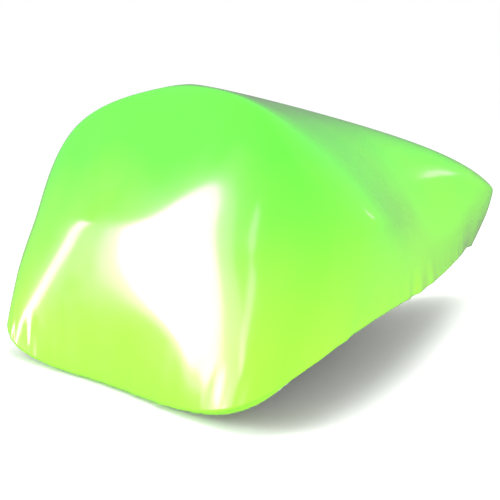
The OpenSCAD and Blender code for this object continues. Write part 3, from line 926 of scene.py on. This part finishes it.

# %% [markdown]
# Each piece now takes its place in the assembly: what it moves with, and which solid it stands for, whose
# frame part is hidden. The film is cut smaller than the saddle and stretched over it, so its flat size is
# given as it lies when held, with its area.

# %% Bodies and replaced parts


COVER_PIECES = [
    (film, "cover_film", "film"), (hem, "hem_channel", "film"), (elastic, "hem_elastic", "elastic")
]
SADDLE_PIECES = [
    (skin, "saddle_skin", "skin"), (foam, "foam_pad", "foam"), (tray, "base_shell", "shell"),
    (fittings, "base_shell", "shell"), (staples, "skin_staples", "steel"),
]
for body, members in (("cover", COVER_PIECES), ("saddle", SADDLE_PIECES)):
    for piece, node, slot in members:
        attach(piece, body)
        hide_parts(node)

# %% [markdown]
# A glossy piece shows its surroundings more than its own colour, so the lights are placed by what each part
# of the film reflects. A box light at the far left is what the back panel mirrors as its broad white patch.
# A narrow one near the camera gives the streak on the right. A large soft one overhead lights the top and
# runs along the shoulder line. The world is white to the camera but dim in reflections, which keeps the
# top's green deep at the edges. Two fill lights only light the colour and don't show as reflections.

# %% Studio
MIDDLE = Vector((-0.03, 0, 0.05))


def soft_light(name, heading, height, width, tall, glow, distance=1.0, lean=0.0, shape="RECTANGLE"):
    """A rectangular light. heading and height are degrees, glow is its brightness as a mirror shows it."""
    data = bpy.data.lights.new(name, "AREA")
    data.shape = shape
    data.size, data.size_y = width, tall
    data.energy = glow * math.pi * width * tall * (math.pi / 4 if shape == "ELLIPSE" else 1)
    light = bpy.data.objects.new(name, data)
    a, e = math.radians(heading), math.radians(height)
    back = Vector((math.cos(a) * math.cos(e), math.sin(a) * math.cos(e), math.sin(e)))
    light.location = MIDDLE + back * distance
    turned_to = back.to_track_quat("Z", "Y").to_matrix() @ Matrix.Rotation(math.radians(lean), 3, "Z")
    light.rotation_euler = turned_to.to_euler()
    light.visible_camera = False
    bpy.context.scene.collection.objects.link(light)
    return light


def studio_world(seen, lit, mirrored):
    world = bpy.data.worlds.new("studio")
    bpy.context.scene.world = world
    world.use_nodes = True
    tree = world.node_tree
    path = add_node(tree, "ShaderNodeLightPath")
    shade = add_node(tree, "ShaderNodeBackground", {"Color": (1, 1, 1, 1)})
    glossy = add_node(tree, "ShaderNodeMix", {0: path.outputs["Is Glossy Ray"], 2: lit, 3: mirrored})
    strength = add_node(tree, "ShaderNodeMix", {0: path.outputs["Is Camera Ray"], 2: glossy.outputs[0], 3: seen})
    tree.links.new(strength.outputs[0], shade.inputs["Strength"])
    tree.links.new(shade.outputs[0], tree.nodes["World Output"].inputs["Surface"])


studio_world(seen=1.0, lit=1.04, mirrored=0.27)
soft_light("box_rear", 136, 11, 0.36, 0.50, 10, lean=6, shape="ELLIPSE")
soft_light("box_rear_edge", 139, 10, 0.60, 0.58, 2.6, shape="ELLIPSE", distance=1.05)
soft_light("strip_rear_left", 116.5, 3, 0.05, 0.32, 7)
soft_light("strip_rear_right", 157, 15, 0.06, 0.36, 5, lean=-12)
soft_light("rim_front", 4, 16, 0.04, 0.10, 2.0)
for fill in (
    soft_light("overhead", -30, 76, 0.9, 0.9, 4.0, distance=1.2),
    soft_light("fill_right", -62, 20, 1.2, 0.8, 1.6, distance=1.3),
):
    fill.visible_glossy = False
floor_z = CAD_BOX[0][2]
FLOOR_REACH = 30
floor = new_piece(
    "studio_floor",
    [(x * FLOOR_REACH, y * FLOOR_REACH, floor_z) for x, y in ((-1, -1), (1, -1), (1, 1), (-1, 1))],
    [(0, 1, 2, 3)],
)


def one_sided(tree, shader):
    """Lets the saddle be seen from under the floor: the floor's lower face is clear."""
    side = add_node(tree, "ShaderNodeNewGeometry").outputs["Backfacing"]
    clear = add_node(tree, "ShaderNodeBsdfTransparent").outputs[0]
    mix = add_node(tree, "ShaderNodeMixShader", {0: side, 1: shader.outputs[0], 2: clear})
    tree.links.new(mix.outputs[0], tree.nodes["Material Output"].inputs["Surface"])


floor_material, floor_tree, floor_shader = start_material(
    "pale_floor", Roughness=1.0, Specular_IOR_Level=0.0, Base_Color=(0.97, 0.97, 0.98, 1)
)
one_sided(floor_tree, floor_shader)
floor.data.materials.append(floor_material)
floor.visible_glossy = False
bpy.context.scene.view_settings.view_transform = "Standard"
print("floor at", round(floor_z, 4), "m")
